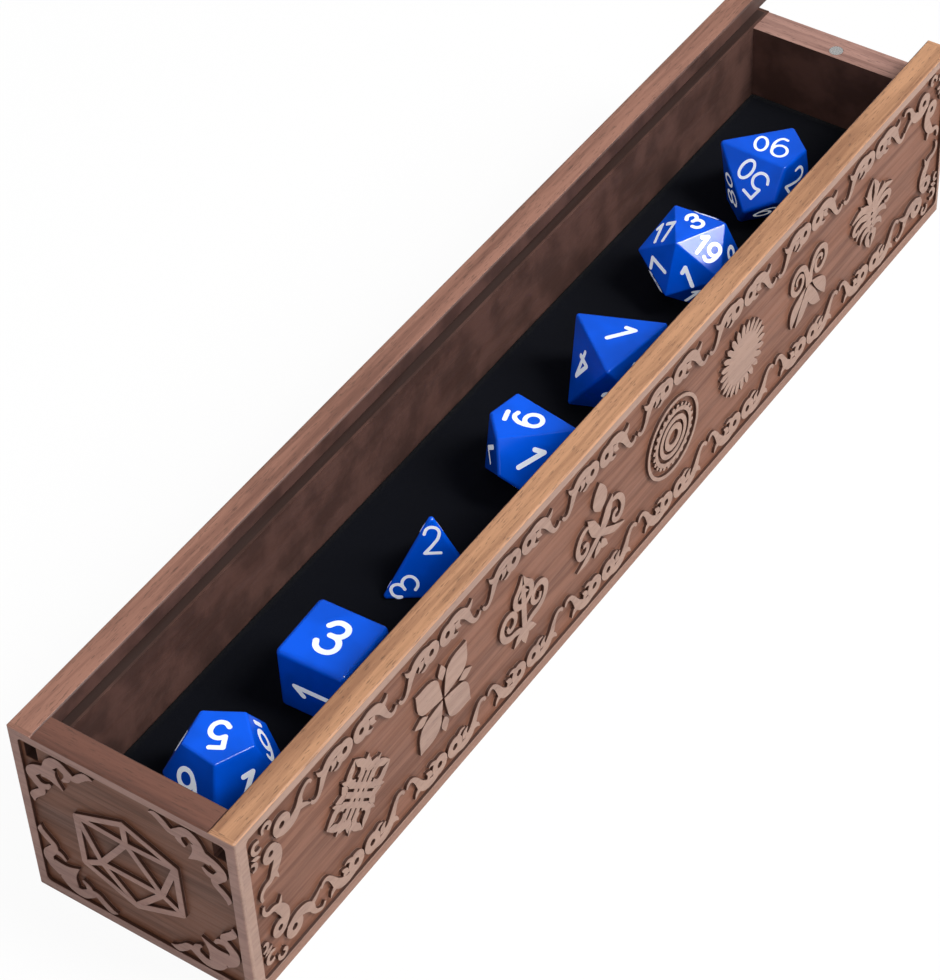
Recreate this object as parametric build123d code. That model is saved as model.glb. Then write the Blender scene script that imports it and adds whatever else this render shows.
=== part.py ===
"""Dice storage chest: a long walnut box with carved faces, a sliding lid and seven dice.

Origin: centre of the chest's underside. +Z is up, +Y points to the open end, where the lid
slides in and out, and +X to the side that the photograph shows. All lengths are millimetres.
"""
from build123d import *
from itertools import product
from math import cos, pi, radians, sin, sqrt
import os

# ---- chest ----
CHEST_LENGTH = 270.0
CHEST_WIDTH = 53.3
CHEST_HEIGHT = 47.5
SIDE_THICKNESS = 6.0
NEAR_END_THICKNESS = 6.3
FAR_END_THICKNESS = 7.2
EDGE_ROUNDING = 0.5

# ---- carved fields, sunk into the outside of the walls inside a plain border ----
CARVING_DEPTH = 0.8
FIELD_CORNER_RADIUS = 1.2
SIDE_BORDER_TOP = 2.4
SIDE_BORDER_BOTTOM = 2.6
SIDE_BORDER_NEAR = 3.2
SIDE_BORDER_FAR = 1.2
END_BORDER = 2.3

# ---- lid and its groove ----
LIP_HEIGHT = 3.8
GROOVE_HEIGHT = 4.1
GROOVE_DEPTH = 3.0
END_GROOVE_DEPTH = 2.5
LID_SLIDE_GAP = 0.15
LID_SIDE_GAP = 0.25
LID_END_GAP = 0.3
LID_REST_GAP = 75.0
NOTCH_WIDTH = 14.0
NOTCH_DEPTH = 1.4
NOTCH_ROLL_RADIUS = 12.0
NOTCH_SETBACK = 20.0

# ---- floor ----
BASE_THICKNESS = 4.0
BASE_HOUSING_DEPTH = 3.0
FELT_TOP_HEIGHT = 20.0
FELT_THICKNESS = 1.5
LINING_GAP = 0.3

# ---- magnets that hold the lid shut ----
MAGNET_DIAMETER = 3.2
MAGNET_LENGTH = 2.5
MAGNET_SETBACK = 4.7
MAGNET_BORE_GAP = 0.05

# ---- dice ----
DIE_SEAT_GAP = 0.3
KITE_FACE_TILT = 39.0

# ---- derived places ----
HALF_LENGTH = CHEST_LENGTH / 2
HALF_WIDTH = CHEST_WIDTH / 2
INNER_HALF_WIDTH = HALF_WIDTH - SIDE_THICKNESS
NEAR_INNER_Y = -HALF_LENGTH + NEAR_END_THICKNESS
FAR_INNER_Y = HALF_LENGTH - FAR_END_THICKNESS
WELL_LENGTH = FAR_INNER_Y - NEAR_INNER_Y
GROOVE_TOP_Z = CHEST_HEIGHT - LIP_HEIGHT
GROOVE_FLOOR_Z = GROOVE_TOP_Z - GROOVE_HEIGHT
LID_UNDERSIDE_Z = GROOVE_FLOOR_Z + LID_SLIDE_GAP
FAR_END_TOP_Z = GROOVE_FLOOR_Z - LID_END_GAP
LID_NEAR_Y = NEAR_INNER_Y - END_GROOVE_DEPTH + LID_SIDE_GAP
LID_TRAVEL = HALF_LENGTH + LID_REST_GAP - LID_NEAR_Y
DIE_SEAT_Z = FELT_TOP_HEIGHT + DIE_SEAT_GAP


def box_between(low, high):
    """A box from its lowest to its highest corner."""
    return Pos(*low) * Box(*(b - a for a, b in zip(low, high)), align=(Align.MIN,) * 3)


# ---- shared cutters ----
def base_housing():
    """The space of the base panel, which the walls are rebated to take."""
    return box_between(
        (-INNER_HALF_WIDTH - BASE_HOUSING_DEPTH, NEAR_INNER_Y - BASE_HOUSING_DEPTH, 0),
        (INNER_HALF_WIDTH + BASE_HOUSING_DEPTH, FAR_INNER_Y + BASE_HOUSING_DEPTH, BASE_THICKNESS),
    )


def lid_track():
    """The slot that the lid's edges run in, open at the far end."""
    return box_between(
        (-INNER_HALF_WIDTH, NEAR_INNER_Y - END_GROOVE_DEPTH, GROOVE_FLOOR_Z),
        (INNER_HALF_WIDTH, HALF_LENGTH, GROOVE_TOP_Z),
    )


def end_field(outer_y, inward, top_z):
    """The sunk field of an end face, as high as top_z lets it be."""
    low_z = END_BORDER
    high_z = top_z - END_BORDER
    plane = Plane((0, outer_y, (low_z + high_z) / 2), x_dir=(1, 0, 0), z_dir=(0, -inward, 0))
    outline = RectangleRounded(
        CHEST_WIDTH - 2 * END_BORDER, high_z - low_z, FIELD_CORNER_RADIUS
    )
    return extrude(plane * outline, -CARVING_DEPTH)


def side_field(side):
    """The sunk field of a long face; side is -1 for the left wall and +1 for the right."""
    low_y = -HALF_LENGTH + SIDE_BORDER_NEAR
    high_y = HALF_LENGTH - SIDE_BORDER_FAR
    low_z = SIDE_BORDER_BOTTOM
    high_z = CHEST_HEIGHT - SIDE_BORDER_TOP
    centre = (side * HALF_WIDTH, (low_y + high_y) / 2, (low_z + high_z) / 2)
    plane = Plane(centre, x_dir=(0, 1, 0), z_dir=(side, 0, 0))
    outline = RectangleRounded(high_y - low_y, high_z - low_z, FIELD_CORNER_RADIUS)
    return extrude(plane * outline, -CARVING_DEPTH)


# ---- wooden parts ----
def side_wall(side):
    """A long wall: a grooved moulding as long as the chest, with its top corners eased."""
    inner_x = side * INNER_HALF_WIDTH
    outer_x = side * HALF_WIDTH
    groove_x = side * (INNER_HALF_WIDTH + GROOVE_DEPTH)
    section = Plane.XZ * make_face(Polyline(
        (inner_x, 0),
        (outer_x, 0),
        (outer_x, CHEST_HEIGHT),
        (inner_x, CHEST_HEIGHT),
        (inner_x, GROOVE_TOP_Z),
        (groove_x, GROOVE_TOP_Z),
        (groove_x, GROOVE_FLOOR_Z),
        (inner_x, GROOVE_FLOOR_Z),
        close=True,
    ))
    wall = extrude(section, HALF_LENGTH, both=True)
    rims = wall.edges().filter_by(Axis.Y).group_by(Axis.Z)[-1]
    outermost = 0 if side < 0 else -1
    corners = wall.edges().filter_by(Axis.Z).group_by(Axis.X)[outermost]
    wall = fillet(rims + corners, EDGE_ROUNDING)
    wall -= base_housing()
    wall -= side_field(side)
    wall -= end_field(-HALF_LENGTH, 1, CHEST_HEIGHT)
    wall -= end_field(HALF_LENGTH, -1, FAR_END_TOP_Z)
    return wall


def near_end_wall():
    """The closed end: it stands between the long walls and stops the lid in its groove."""
    wall = box_between(
        (-INNER_HALF_WIDTH, -HALF_LENGTH, 0), (INNER_HALF_WIDTH, NEAR_INNER_Y, CHEST_HEIGHT)
    )
    rims = wall.edges().filter_by(Axis.X).group_by(Axis.Z)[-1]
    wall = fillet(rims, EDGE_ROUNDING)
    return wall - base_housing() - lid_track() - end_field(-HALF_LENGTH, 1, CHEST_HEIGHT)


def far_end_wall():
    """The low end that the lid slides over, bored for a magnet."""
    wall = box_between(
        (-INNER_HALF_WIDTH, FAR_INNER_Y, 0), (INNER_HALF_WIDTH, HALF_LENGTH, FAR_END_TOP_Z)
    )
    return wall - base_housing() - end_magnet_bore() - end_field(HALF_LENGTH, -1, FAR_END_TOP_Z)


def lid_panel():
    """A flat lid, shown closed: its edges run in the grooves and a notch takes a thumb."""
    top_z = GROOVE_TOP_Z - LID_SLIDE_GAP
    half_width = INNER_HALF_WIDTH + GROOVE_DEPTH - LID_SIDE_GAP
    panel = box_between(
        (-half_width, LID_NEAR_Y, LID_UNDERSIDE_Z), (half_width, HALF_LENGTH, top_z)
    )
    roll_z = top_z + NOTCH_ROLL_RADIUS - NOTCH_DEPTH
    notch = Pos(0, HALF_LENGTH - NOTCH_SETBACK, roll_z) * Rot(0, 90, 0) * Cylinder(
        NOTCH_ROLL_RADIUS, NOTCH_WIDTH
    )
    return panel - notch - lid_magnet_bore()


# ---- magnets ----
def magnet(radius, length, top_z):
    """A disc, or its bore, with its axis upright and its top face at top_z."""
    place = Pos(0, HALF_LENGTH - MAGNET_SETBACK, top_z - length)
    return place * Cylinder(radius, length, align=(Align.CENTER, Align.CENTER, Align.MIN))


def end_magnet_bore():
    return magnet(MAGNET_DIAMETER / 2 + MAGNET_BORE_GAP, MAGNET_LENGTH, FAR_END_TOP_Z)


def end_magnet():
    return magnet(MAGNET_DIAMETER / 2, MAGNET_LENGTH, FAR_END_TOP_Z)


def lid_magnet_bore():
    top_z = LID_UNDERSIDE_Z + MAGNET_LENGTH
    return magnet(MAGNET_DIAMETER / 2 + MAGNET_BORE_GAP, MAGNET_LENGTH, top_z)


def lid_magnet():
    return magnet(MAGNET_DIAMETER / 2, MAGNET_LENGTH, LID_UNDERSIDE_Z + MAGNET_LENGTH)


# ---- floor ----
def foam_pad():
    """The foam that carries the felt and brings the dice up to an easy reach."""
    return box_between(
        (-INNER_HALF_WIDTH + LINING_GAP, NEAR_INNER_Y + LINING_GAP, BASE_THICKNESS),
        (INNER_HALF_WIDTH - LINING_GAP, FAR_INNER_Y - LINING_GAP,
         FELT_TOP_HEIGHT - FELT_THICKNESS),
    )


def felt_liner():
    """The black felt that the dice lie on."""
    return box_between(
        (-INNER_HALF_WIDTH + LINING_GAP, NEAR_INNER_Y + LINING_GAP,
         FELT_TOP_HEIGHT - FELT_THICKNESS),
        (INNER_HALF_WIDTH - LINING_GAP, FAR_INNER_Y - LINING_GAP, FELT_TOP_HEIGHT),
    )


# ---- dice: every face of a die is equally far from its middle ----
GOLDEN = (1 + sqrt(5)) / 2


def turned(vector):
    """The three vectors that a cyclic swap of coordinates makes."""
    x, y, z = vector
    return [(x, y, z), (y, z, x), (z, x, y)]


def face_directions(sides):
    """The outward directions of a die's faces, the top face first and a neighbour second."""
    if sides == 4:
        return [(-1, -1, -1), (-1, 1, 1), (1, -1, 1), (1, 1, -1)]
    if sides == 6:
        return turned((0, 0, 1)) + turned((0, 0, -1))
    if sides == 8:
        return list(product((1, -1), repeat=3))
    if sides == 10:
        return kite_directions(KITE_FACE_TILT)
    if sides == 12:
        first, second = (0, 1, GOLDEN), (0, -1, GOLDEN)
        rest = [v for v in rectangles(1, GOLDEN) if v not in (first, second)]
        return [first, second] + rest
    if sides == 20:
        first, second = (1, 1, 1), (0, 1 / GOLDEN, GOLDEN)
        corners = list(product((1, -1), repeat=3)) + rectangles(1 / GOLDEN, GOLDEN)
        return [first, second] + [v for v in corners if v not in (first, second)]
    raise ValueError(f"no die has {sides} sides here")


def rectangles(short, long):
    """The twelve corners of three golden rectangles that stand across each other."""
    corners = []
    for a, b in product((short, -short), (long, -long)):
        corners += turned((0, a, b))
    return corners


def kite_directions(tilt):
    """Ten kite faces: five that lean up, and five between them that lean down."""
    directions = []
    for lean, first_turn in ((1, 0), (-1, pi / 5)):
        for step in range(5):
            turn = first_turn + step * 2 * pi / 5
            directions.append((
                cos(turn) * cos(radians(tilt)),
                sin(turn) * cos(radians(tilt)),
                lean * sin(radians(tilt)),
            ))
    return directions


def resting(directions, stands_on_first):
    """The face directions turned so that the first is up, or down for a die with a point on top."""
    first, second = Vector(*directions[0]), Vector(*directions[1])
    up = -first if stands_on_first else first
    frame = Plane((0, 0, 0), x_dir=second, z_dir=up)
    return [frame.to_local_coords(Vector(*v)).normalized() for v in directions]


def die(sides, height, rounding, aside, along, heading):
    """A die of this height over its faces, with every edge and corner rounded.

    It is cut from a block by its faces, shrunk by the rounding, then grown by the same amount.
    aside is its distance from the middle of the well towards +X, along the share of the well's
    length from the closed end, and heading its turn about the vertical, in degrees.
    """
    stands_on_first = sides == 4
    inner_radius = height / 4 if stands_on_first else height / 2
    solid = Box(*(6 * inner_radius,) * 3)
    for direction in resting(face_directions(sides), stands_on_first):
        face = Plane(direction * (inner_radius - rounding), z_dir=direction)
        solid = split(solid, bisect_by=face, keep=Keep.BOTTOM)
    solid = offset(solid, amount=rounding, kind=Kind.ARC)
    place = Pos(aside, NEAR_INNER_Y + along * WELL_LENGTH, DIE_SEAT_Z + inner_radius)
    return place * Rot(0, 0, heading) * solid


# ---- the dice as they lie, from the closed end to the open end ----
DICE = {
    "die_d12": dict(sides=12, height=19.2, rounding=0.8, aside=4.0, along=0.070, heading=47.6),
    "die_d6": dict(sides=6, height=16.4, rounding=1.3, aside=6.0, along=0.199, heading=2.4),
    "die_d4": dict(sides=4, height=18.6, rounding=0.7, aside=4.4, along=0.340, heading=64.4),
    "die_d10": dict(sides=10, height=16.9, rounding=0.8, aside=5.6, along=0.473, heading=310.5),
    "die_d8": dict(sides=8, height=16.4, rounding=0.7, aside=7.1, along=0.596, heading=352.0),
    "die_d20": dict(sides=20, height=19.2, rounding=0.6, aside=3.5, along=0.738, heading=212.3),
    "die_percentile": dict(
        sides=10, height=17.4, rounding=0.9, aside=2.8, along=0.869, heading=136.9
    ),
}


def main():
    lid_withdrawn = Pos(0, LID_TRAVEL, 0)
    parts = {
        "left_side_wall": side_wall(-1),
        "right_side_wall": side_wall(1),
        "near_end_wall": near_end_wall(),
        "far_end_wall": far_end_wall(),
        "base_panel": base_housing(),
        "foam_pad": foam_pad(),
        "felt_liner": felt_liner(),
        "end_magnet": end_magnet(),
        "lid_panel": lid_withdrawn * lid_panel(),
        "lid_magnet": lid_withdrawn * lid_magnet(),
    }
    for name, shape in DICE.items():
        parts[name] = die(**shape)
    os.makedirs("parts", exist_ok=True)
    for name, solid in parts.items():
        export_step(solid, f"parts/{name}.step")


if __name__ == "__main__":
    main()
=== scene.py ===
"""Dice storage chest: walnut, carving, lining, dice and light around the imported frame."""

import math

import bmesh
import bpy
from mathutils import Matrix, Vector, noise


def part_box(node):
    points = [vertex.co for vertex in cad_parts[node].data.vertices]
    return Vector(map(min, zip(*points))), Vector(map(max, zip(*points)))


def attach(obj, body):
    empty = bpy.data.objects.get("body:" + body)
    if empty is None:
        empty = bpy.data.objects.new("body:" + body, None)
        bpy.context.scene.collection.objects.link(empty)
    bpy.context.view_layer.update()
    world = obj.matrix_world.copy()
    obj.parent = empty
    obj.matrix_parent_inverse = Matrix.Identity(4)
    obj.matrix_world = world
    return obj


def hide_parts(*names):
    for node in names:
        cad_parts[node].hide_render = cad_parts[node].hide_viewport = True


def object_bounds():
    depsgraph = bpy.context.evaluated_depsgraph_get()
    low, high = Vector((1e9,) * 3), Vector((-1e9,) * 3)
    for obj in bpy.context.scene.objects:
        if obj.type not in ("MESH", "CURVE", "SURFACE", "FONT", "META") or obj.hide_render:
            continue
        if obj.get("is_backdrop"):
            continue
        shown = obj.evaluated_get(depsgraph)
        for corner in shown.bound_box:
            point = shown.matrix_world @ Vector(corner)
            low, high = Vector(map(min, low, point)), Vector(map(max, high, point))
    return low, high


bl_info = {
    "name": "Dice storage chest",
    "version": (1, 0, 0),
    "blender": (4, 5, 0),
    "location": "View3D > Sidebar > Dice Chest",
    "description": "Finishes a carved dice chest, its lining and its dice",
    "category": "Object",
}

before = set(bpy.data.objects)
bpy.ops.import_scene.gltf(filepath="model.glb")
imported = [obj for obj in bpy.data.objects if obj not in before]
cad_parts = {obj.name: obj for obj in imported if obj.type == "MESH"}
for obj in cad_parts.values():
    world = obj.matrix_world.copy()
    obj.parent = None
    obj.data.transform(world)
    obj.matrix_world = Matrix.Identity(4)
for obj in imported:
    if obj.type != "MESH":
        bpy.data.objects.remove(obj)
CAD_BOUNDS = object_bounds()
MM = 0.001
CHEST = "chest"


def millimetres(node):
    """The lowest and highest corners of a node of the frame, in millimetres."""
    low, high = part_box(node)
    return low / MM, high / MM


def shade(code):
    """The linear colour of a screen colour that is written as six hexadecimal digits."""
    parts = [int(code[i:i + 2], 16) / 255 for i in (0, 2, 4)]
    return [v / 12.92 if v <= 0.04045 else ((v + 0.055) / 1.055) ** 2.4 for v in parts]


def dimmed(tone, share):
    """A colour with each of its parts multiplied by a share."""
    return tuple(part * share for part in tone)


# ---- places of the frame that the carving and the finishes follow, in millimetres ----
WALL_LOW, WALL_HIGH = millimetres("right_side_wall")
OUTER_X = WALL_HIGH.x
INNER_X = WALL_LOW.x
HALF_LENGTH = WALL_HIGH.y
RIM_Z = WALL_HIGH.z
FAR_TOP_Z = millimetres("far_end_wall")[1].z
LID_LOW, LID_HIGH = millimetres("lid_panel")

# ---- the sunk fields of the walls and the borders round them, in millimetres ----
CARVING_DEPTH = 0.8
SIDE_BORDER_TOP = 2.4
SIDE_BORDER_BOTTOM = 2.6
END_BORDER = 2.3
FIELD_LOW_Y = -HALF_LENGTH + 3.2
FIELD_HIGH_Y = HALF_LENGTH - 1.2
SIDE_FIELD_REACH = HALF_LENGTH - 1.0


# ---------------------------------------------------------------- settings
def colour(name, text, code):
    return bpy.props.FloatVectorProperty(
        name=name, description=text, subtype="COLOR", size=3, min=0, max=1, default=shade(code)
    )


def length(name, text, value, least=0.0):
    return bpy.props.FloatProperty(
        name=name, description=text, unit="LENGTH", default=value * MM, min=least * MM
    )


def power(name, text, value):
    return bpy.props.FloatProperty(
        name=name, description=text, unit="POWER", default=value, min=0
    )


class WoodSettings(bpy.types.PropertyGroup):
    """Colours of the walnut."""
    right_face: colour("Right face", "Relief and border of the right wall", "997D71")
    right_rail: colour("Right rail", "Top of the right wall", "C08E6C")
    left_face: colour("Left face", "Relief and border of the left wall", "B39285")
    left_rail: colour("Left rail", "Top of the left wall", "9C7061")
    end_face: colour("End faces", "Relief and border of the end walls", "8D6E66")
    near_rail: colour("Near rail", "Top of the near end wall", "704B40")
    far_rail: colour("Far rail", "Top of the far end wall", "AB8379")
    ground: colour("Ground", "Scorched ground of the long faces", "7A5140")
    end_ground: colour("End ground", "Scorched ground of the end faces", "633F2F")
    inside: colour("Inside", "Inner faces of the walls", "5C4038")
    base: colour("Base", "Underside of the chest", "8F6F59")
    lid: colour("Lid", "Both faces of the lid", "9A7563")


class CarvingSettings(bpy.types.PropertyGroup):
    """Sizes of the carving."""
    motif_pitch: length("Motif pitch", "Distance between motifs along a side", 28.56)
    motif_height: length("Motif height", "Height of the motifs' centres", 24.2)
    first_motif: length("First motif", "From the near end to the first motif", 36.0)
    figure_radius: length("Figure radius", "Radius of the line figure on the near end", 12.3)
    figure_aside: length(
        "Figure aside", "How far the line figure lies off the middle", -0.95, least=-20
    )
    figure_drop: length("Figure drop", "How far the line figure lies under the middle", 1.2)
    bar_width: length("Bar width", "Width of the line figure's bars", 1.4)


class LiningSettings(bpy.types.PropertyGroup):
    """Felt and foam."""
    felt: colour("Felt", "Felt under the dice", "0B0F1B")
    foam: colour("Foam", "Foam under the felt", "1B1B1E")
    nap: length("Nap", "How far the felt's nap stands up between the dice", 0.2)
    mesh_step: length("Mesh step", "Size of the felt's mesh cells", 1.6)


class DiceSettings(bpy.types.PropertyGroup):
    """Colours of the dice and depth of their numerals."""
    body: colour("Dice", "Body of the dice", "005FF5")
    # The numerals' colour is also the colour of their painted glow.
    numeral: colour("Numerals", "Paint in the numerals", "ECF3FF")
    paint: length("Paint", "How far the paint stands proud", 0.02)


class StageSettings(bpy.types.PropertyGroup):
    """Light, floor and camera."""
    key: power("Key", "Power of the light at the right", 8.8)
    top: power("Top", "Power of the higher light", 6.5)
    glint: power("Glint", "Power of the light that shows only as glints", 50.0)
    fill: power("Fill", "Power of the light before the near end", 3.0)
    world: bpy.props.FloatProperty(
        name="World", description="Strength of the light from all round", default=0.42, min=0
    )
    floor: colour("Floor", "Floor and backdrop", "FFFFFF")


SETTINGS = {
    "chest_wood": WoodSettings,
    "chest_carving": CarvingSettings,
    "chest_lining": LiningSettings,
    "chest_dice": DiceSettings,
    "chest_stage": StageSettings,
}


# ---------------------------------------------------------------- materials
class Shader:
    """A material with its node tree, and short ways to add and join nodes."""

    def __init__(self, name):
        self.material = bpy.data.materials.new(name)
        self.material.use_nodes = True
        self.tree = self.material.node_tree
        self.surface = self.tree.nodes["Principled BSDF"]

    def add(self, kind, inputs=(), **settings):
        """A new node of a kind, with values or sockets for its inputs."""
        node = self.tree.nodes.new("ShaderNode" + kind)
        for key, value in settings.items():
            setattr(node, key, value)
        for key, value in dict(inputs).items():
            self.give(node.inputs[key], value)
        return node

    def give(self, socket, value):
        """Joins a socket to another one, or sets its own value."""
        if isinstance(value, bpy.types.NodeSocket):
            self.tree.links.new(value, socket)
        else:
            socket.default_value = value

    def set(self, **inputs):
        """Gives inputs of the surface; their names are written with _ for each space."""
        for key, value in inputs.items():
            self.give(self.surface.inputs[key.replace("_", " ")], value)

    def math(self, operation, a, b=0.0, c=0.0):
        node = self.add("Math", {0: a, 1: b, 2: c}, operation=operation)
        return node.outputs[0]

    def position(self, scale=(1, 1, 1)):
        """Places in the frame, in millimetres, stretched by scale."""
        place = self.add("TexCoord").outputs["Object"]
        size = [v / MM for v in scale]
        return self.add("Mapping", {"Vector": place, "Scale": size}).outputs[0]

    def noise(self, vector, scale, detail=4.0, roughness=0.55, distortion=0.0):
        node = self.add("TexNoise", {
            "Vector": vector, "Scale": scale, "Detail": detail, "Roughness": roughness,
            "Distortion": distortion,
        })
        return node.outputs["Fac"]

    def ramp(self, factor, low, high, to_low=0.0, to_high=1.0):
        node = self.add("MapRange", {
            "Value": factor, "From Min": low, "From Max": high, "To Min": to_low,
            "To Max": to_high,
        }, interpolation_type="SMOOTHSTEP")
        return node.outputs[0]

    def blend(self, factor, first, second, blend_type="MIX"):
        node = self.add("Mix", data_type="RGBA", blend_type=blend_type)
        colours = [s for s in node.inputs if s.type == "RGBA"]
        self.give(node.inputs[0], factor)
        for socket, value in zip(colours, (first, second)):
            self.give(socket, value if isinstance(value, bpy.types.NodeSocket) else (*value, 1))
        return next(s for s in node.outputs if s.type == "RGBA")

    def bump(self, height, distance, strength):
        """The normal of a surface whose dents are as deep as the distance, in millimetres."""
        inputs = {"Height": height, "Distance": distance * MM, "Strength": strength}
        return self.add("Bump", inputs).outputs[0]

    def within(self, place, limits):
        """1 inside a box, else 0; limits gives (axis, low, high) in millimetres."""
        axes = self.add("SeparateXYZ", {0: place}).outputs
        inside = None
        for axis, low, high in limits:
            above = self.math("GREATER_THAN", axes[axis], low)
            below = self.math("LESS_THAN", axes[axis], high)
            both = self.math("MULTIPLY", above, below)
            inside = both if inside is None else self.math("MULTIPLY", inside, both)
        return inside


# ---- walnut: where each tone lies ----
# The tone of the wood follows its place, in boxes of places that are mirrored to be 0 or more.
# So a box that holds the chest's middle starts at MIDDLE, and one that holds a face ends BEYOND
# it. The reaches are how far, in millimetres, a tone goes past its own edge or into the wood.
MIDDLE = -1.0
BEYOND = 1.0
MARGIN = 0.1
RAIL_REACH = 0.35
FACE_REACH = 0.12
GROUND_REACH = 0.08
FIELD_REACH = 0.2
HOLLOW_REACH = 0.04
HOLLOW_FOOT = 1.0
GROOVE_REACH = 0.3
GROOVE_START = 0.6
END_GRAIN_REACH = 1.0

# ---- walnut: its tones, and how strongly each shows ----
BURNT = shade("4A3027")
HONEY = (1.0, 0.9, 0.76)
UMBER = (0.26, 0.175, 0.125)
PORE = (0.06, 0.036, 0.026)
HONEY_SHARE = 0.2
GRAIN_CONTRAST = 0.46
PORE_DEPTH = 0.26
# These three are added to the contrast or to the depth, on the outer faces and on the rails.
OUTER_FACE_CONTRAST = -0.34
RAIL_CONTRAST = 0.1
RAIL_PORE_DEPTH = 0.24
# Share of the long ground tone painted on the foot of the long faces: painted shade near the
# floor.
FOOT_PAINTED_SHADE = 0.6
CLOUD_DARK, CLOUD_LIGHT = 0.72, 1.2
GROOVE_SHADE = 0.45
# How much shorter places are along the grain, and how far the grain of end faces is shifted.
LONG_GRAIN = 0.05
SHORT_GRAIN = 0.1
END_SHIFT = (7, 14, 21)


def grain_places(s, mirrored, along, seed):
    """Long and short places along the grain, which runs across the chest on its end faces."""
    end_start = HALF_LENGTH - END_GRAIN_REACH
    on_end = s.within(mirrored, [("Y", end_start, HALF_LENGTH + BEYOND)])
    places = []
    for squeeze in (LONG_GRAIN, SHORT_GRAIN):
        stretches = {"X": (squeeze, 1, 1), "Y": (1, squeeze, 1)}
        shift = (seed, seed * 2, seed * 3)
        own = s.add("VectorMath", {0: s.position(stretches[along]), 1: shift}).outputs[0]
        crossed = s.add("VectorMath", {0: s.position(stretches["X"]), 1: END_SHIFT}).outputs[0]
        pick = s.add("Mix", data_type="VECTOR")
        vectors = [socket for socket in pick.inputs if socket.type == "VECTOR"]
        s.give(pick.inputs[0], on_end)
        s.give(vectors[-2], own)
        s.give(vectors[-1], crossed)
        places.append(next(socket for socket in pick.outputs if socket.type == "VECTOR"))
    return places


def field_layer(s, mirrored, top, deep, shallow):
    """Masks of the long and of the end fields, between two depths under their faces."""
    side = s.within(mirrored, [
        ("X", OUTER_X - deep, OUTER_X - shallow),
        ("Y", MIDDLE, SIDE_FIELD_REACH),
        ("Z", SIDE_BORDER_BOTTOM - FIELD_REACH, RIM_Z - SIDE_BORDER_TOP + FIELD_REACH),
    ])
    end = s.within(mirrored, [
        ("Y", HALF_LENGTH - deep, HALF_LENGTH - shallow),
        ("X", MIDDLE, OUTER_X - END_BORDER + FIELD_REACH),
        ("Z", END_BORDER - FIELD_REACH, top - END_BORDER + FIELD_REACH),
    ])
    return side, end


def outer_tones(s, mirrored, face, rail, grounds, tip, top):
    """The tone of the outside, the contrast of its grain and the depth of its pores."""
    on_side = s.within(mirrored, [("X", OUTER_X - FACE_REACH, OUTER_X + BEYOND)])
    on_end = s.within(mirrored, [("Y", HALF_LENGTH - FACE_REACH, HALF_LENGTH + BEYOND)])
    on_face = s.math("MAXIMUM", on_side, on_end)
    contrast = s.math("MULTIPLY_ADD", on_face, OUTER_FACE_CONTRAST, GRAIN_CONTRAST)
    depth = PORE_DEPTH
    tone = face if tip is None else s.blend(on_end, face, tip)
    if grounds is not None:
        # Painted shade: the strip at the foot of each long face is darkened towards the long
        # ground tone.
        foot = s.within(mirrored, [
            ("X", OUTER_X - FACE_REACH, OUTER_X + BEYOND), ("Y", MIDDLE, SIDE_FIELD_REACH),
            ("Z", MIDDLE, SIDE_BORDER_BOTTOM - MARGIN),
        ])
        tone = s.blend(s.math("MULTIPLY", foot, FOOT_PAINTED_SHADE), tone, grounds[0])
    if rail is not None:
        on_rail = s.within(mirrored, [("Z", top - RAIL_REACH, top + BEYOND)])
        tone = s.blend(on_rail, tone, rail)
        contrast = s.math("MULTIPLY_ADD", on_rail, RAIL_CONTRAST, contrast)
        depth = s.math("MULTIPLY_ADD", on_rail, RAIL_PORE_DEPTH, PORE_DEPTH)
    if grounds is not None:
        deep, shallow = CARVING_DEPTH + MARGIN, CARVING_DEPTH - GROUND_REACH
        side, end = field_layer(s, mirrored, top, deep, shallow)
        tone = s.blend(end, s.blend(side, tone, grounds[0]), grounds[1])
    return tone, contrast, depth


def hollow_tones(s, mirrored, wood, inside, top):
    """The wood with its inner faces blotched and the lid's grooves in shade."""
    hollow = s.within(mirrored, [
        ("X", MIDDLE, LID_HIGH.x + GROOVE_REACH),
        ("Y", MIDDLE, HALF_LENGTH - CARVING_DEPTH - MARGIN),
        ("Z", HOLLOW_FOOT, top - HOLLOW_REACH),
    ])
    clouds = s.ramp(s.noise(s.position(), 0.11, detail=3), 0.36, 0.64)
    blotched = s.blend(clouds, dimmed(inside, CLOUD_DARK), dimmed(inside, CLOUD_LIGHT))
    groove = s.within(mirrored, [
        ("X", INNER_X + GROOVE_START, LID_HIGH.x + GROOVE_REACH),
        ("Y", MIDDLE, SIDE_FIELD_REACH),
        ("Z", LID_LOW.z - GROOVE_REACH, LID_HIGH.z + GROOVE_REACH),
    ])
    return s.blend(groove, s.blend(hollow, wood, blotched), dimmed(inside, GROOVE_SHADE))


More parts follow.
